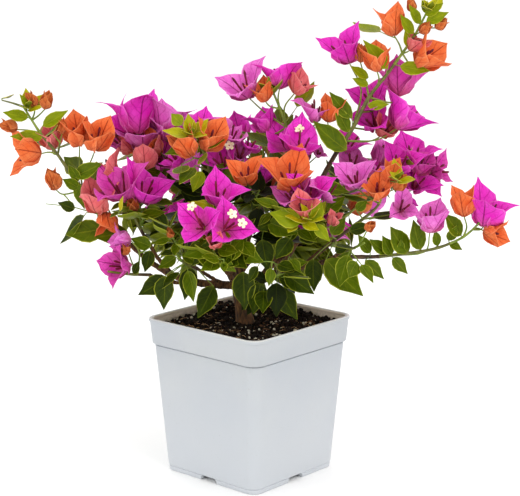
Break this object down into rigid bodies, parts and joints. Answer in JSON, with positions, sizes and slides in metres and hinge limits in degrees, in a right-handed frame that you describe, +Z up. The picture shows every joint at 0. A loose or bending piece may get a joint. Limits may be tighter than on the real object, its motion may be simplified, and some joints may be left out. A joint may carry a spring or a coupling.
{
  "type": "potted bougainvillea bonsai",
  "caption": "Small flowering bougainvillea bonsai with magenta and orange bracts on spreading boughs, standing in a square white plant pot with drainage notches.",
  "frame": {"origin": "centre of the pot's flat underside, on the surface that it stands on", "axes": "+Z up, out of the pot; +X along the crown's long side; -Y towards the crown's front"},
  "size_m": [0.5055, 0.2904, 0.4706],
  "materials": {
    "pot": "satin",
    "potting_mix": "loose and crumbly",
    "bark": "rough bark",
    "foliage": "satin leaves and papery bracts"
  },
  "bodies": {
    "root": {"bough_back_centre": "bark", "bough_back_left": "bark", "bough_back_right": "bark", "bough_centre_front": "bark", "bough_centre_left": "bark", "bough_centre_right": "bark", "bough_centre_top": "bark", "bough_front_right": "bark", "bough_left": "bark", "bough_left_back": "bark", "bough_left_front": "bark", "bough_left_low": "bark", "bough_low_front": "bark", "bough_low_left": "bark", "bough_right": "bark", "bough_right_back": "bark", "bough_right_high": "bark", "bough_right_mid": "bark", "foliage_back_centre": "foliage", "foliage_back_left": "foliage", "foliage_back_right": "foliage", "foliage_centre_front": "foliage", "foliage_centre_left": "foliage", "foliage_centre_right": "foliage", "foliage_centre_top": "foliage", "foliage_front_right": "foliage", "foliage_left_back": "foliage", "foliage_left_front": "foliage", "foliage_left_high": "foliage", "foliage_left_low": "foliage", "foliage_low_front": "foliage", "foliage_low_left": "foliage", "foliage_right_back": "foliage", "foliage_right_high": "foliage", "foliage_right_low": "foliage", "foliage_right_mid": "foliage", "pot": "pot", "soil": "potting_mix", "trunk": "bark"}
  },
  "joints": []
}
